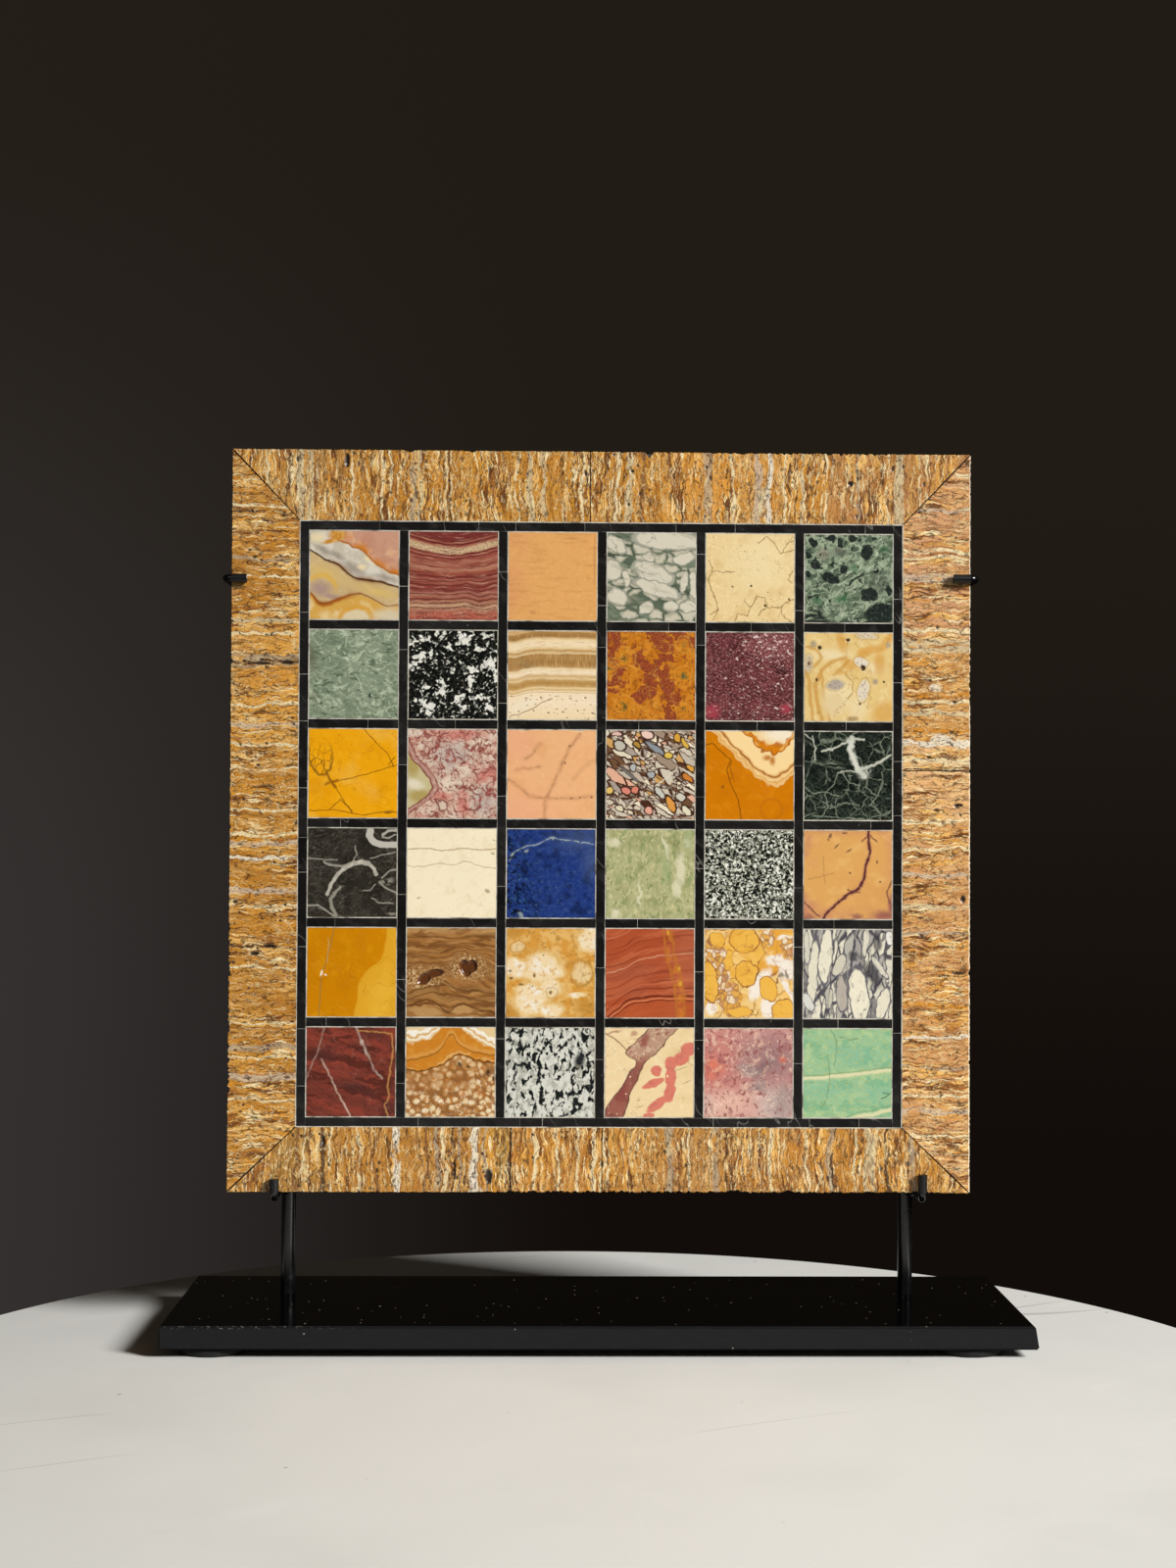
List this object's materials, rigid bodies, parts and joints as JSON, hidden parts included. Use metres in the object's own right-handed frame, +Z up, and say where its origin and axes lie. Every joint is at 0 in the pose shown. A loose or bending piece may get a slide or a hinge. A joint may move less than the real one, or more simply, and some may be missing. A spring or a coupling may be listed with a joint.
{
  "type": "marble specimen tablet on a stand",
  "caption": "Square tablet of inlaid stone specimens in a black lattice with a mitred banded-stone border, held upright on a black steel stand by bottom hooks and side clips.",
  "frame": {"origin": "middle of the footprint, on the surface that the pads stand on", "axes": "+Z up, +X along the base plate to the viewer's right, +Y to the back; the tablet's face looks towards -Y"},
  "size_m": [0.3399, 0.095, 0.3575],
  "materials": {
    "flowered_alabaster": "polished translucent alabaster, cream and grey with orange and brown lines",
    "red_banded_onyx": "polished, wavy bands of burgundy, pink and cream",
    "peach_marble": "polished plain peach marble, faintly mottled",
    "green_breccia": "polished, white lumps in a grey-green ground",
    "crackled_limestone": "polished cream limestone with fine brown cracks",
    "verde_antico": "polished, black-green lumps in a pale green mottled ground",
    "grey_green_marble": "polished grey-green with fine pale swirls and dark specks",
    "black_white_granite": "polished, white crystals on black",
    "banded_alabaster": "polished, level bands of brown and cream",
    "speckled_orange_alabaster": "polished orange with brown-red speckled patches",
    "red_porphyry": "polished burgundy with small pink-white specks",
    "golden_fossil_marble": "polished cream and gold swirls with grey fossil spots",
    "giallo_antico": "polished golden yellow with fine dark cracks",
    "rose_breccia": "polished pink and cream with burgundy lines",
    "rosa_marble": "polished peach-pink with faint veins",
    "polychrome_breccia": "polished, many-coloured lumps in a violet-brown ground",
    "scalloped_orange_alabaster": "polished orange with a white scalloped band",
    "veined_black_serpentine": "polished green-black with white veins",
    "black_fossil_limestone": "polished black with white curved fossils",
    "ivory_limestone": "polished ivory with two thin brown seams",
    "lapis_lazuli": "polished deep blue with a thin pale vein",
    "pale_green_marble": "polished pale yellow-green with cream streaks",
    "grey_diorite": "polished fine black, white and green-grey grains",
    "veined_yellow_marble": "polished peach-yellow with a dark vein",
    "golden_marble": "polished golden yellow with a pale patch",
    "brown_onyx": "polished brown bands with small cream-rimmed hollows",
    "clouded_gold_alabaster": "polished white with golden clouds",
    "red_jasper": "polished brick-red rising bands",
    "yellow_breccia": "polished gold and white lumps with brown edges",
    "black_white_breccia": "polished, upright white lumps in dark grey",
    "red_levanto_marble": "polished dark red with white veins",
    "crested_orange_alabaster": "polished orange crest over cream-brown crystals",
    "flecked_gneiss": "polished grey-white with upright black flecks",
    "cream_red_marble": "polished cream with red-brown and pink veins",
    "pink_violet_breccia": "polished pink, violet and grey clouds",
    "sea_green_marble": "polished sea green with cream stripes",
    "banded_travertine": "honed, tan and gold bands with cream lines and small pores",
    "black_marble": "polished black with faint grey scratches",
    "backing_slate": "sawn and rubbed dark slate",
    "base_steel": "satin black lacquer, worn at the arrises",
    "black_steel": "satin black paint on steel rod",
    "felt": "black felt"
  },
  "bodies": {
    "root": {"specimen_11_flowered_alabaster": "flowered_alabaster", "specimen_12_red_banded_onyx": "red_banded_onyx", "specimen_13_peach_marble": "peach_marble", "specimen_14_green_breccia": "green_breccia", "specimen_15_crackled_limestone": "crackled_limestone", "specimen_16_verde_antico": "verde_antico", "specimen_21_grey_green_marble": "grey_green_marble", "specimen_22_black_white_granite": "black_white_granite", "specimen_23_banded_alabaster": "banded_alabaster", "specimen_24_speckled_orange_alabaster": "speckled_orange_alabaster", "specimen_25_red_porphyry": "red_porphyry", "specimen_26_golden_fossil_marble": "golden_fossil_marble", "specimen_31_giallo_antico": "giallo_antico", "specimen_32_rose_breccia": "rose_breccia", "specimen_33_rosa_marble": "rosa_marble", "specimen_34_polychrome_breccia": "polychrome_breccia", "specimen_35_scalloped_orange_alabaster": "scalloped_orange_alabaster", "specimen_36_veined_black_serpentine": "veined_black_serpentine", "specimen_41_black_fossil_limestone": "black_fossil_limestone", "specimen_42_ivory_limestone": "ivory_limestone", "specimen_43_lapis_lazuli": "lapis_lazuli", "specimen_44_pale_green_marble": "pale_green_marble", "specimen_45_grey_diorite": "grey_diorite", "specimen_46_veined_yellow_marble": "veined_yellow_marble", "specimen_51_golden_marble": "golden_marble", "specimen_52_brown_onyx": "brown_onyx", "specimen_53_clouded_gold_alabaster": "clouded_gold_alabaster", "specimen_54_red_jasper": "red_jasper", "specimen_55_yellow_breccia": "yellow_breccia", "specimen_56_black_white_breccia": "black_white_breccia", "specimen_61_red_levanto_marble": "red_levanto_marble", "specimen_62_crested_orange_alabaster": "crested_orange_alabaster", "specimen_63_flecked_gneiss": "flecked_gneiss", "specimen_64_cream_red_marble": "cream_red_marble", "specimen_65_pink_violet_breccia": "pink_violet_breccia", "specimen_66_sea_green_marble": "sea_green_marble", "border_top_left": "banded_travertine", "border_top_right": "banded_travertine", "border_bottom_left": "banded_travertine", "border_bottom_middle": "banded_travertine", "border_bottom_right": "banded_travertine", "border_left": "banded_travertine", "border_right_upper": "banded_travertine", "border_right_lower": "banded_travertine", "strip_left": "black_marble", "strip_right": "black_marble", "strip_top": "black_marble", "strip_bottom": "black_marble", "strips_inner_lattice": "black_marble", "backing_slab": "backing_slate", "base_plate": "base_steel", "armature_left": "black_steel", "armature_right": "black_steel", "pad_front_left": "felt", "pad_front_right": "felt", "pad_back_left": "felt", "pad_back_right": "felt"}
  },
  "joints": []
}
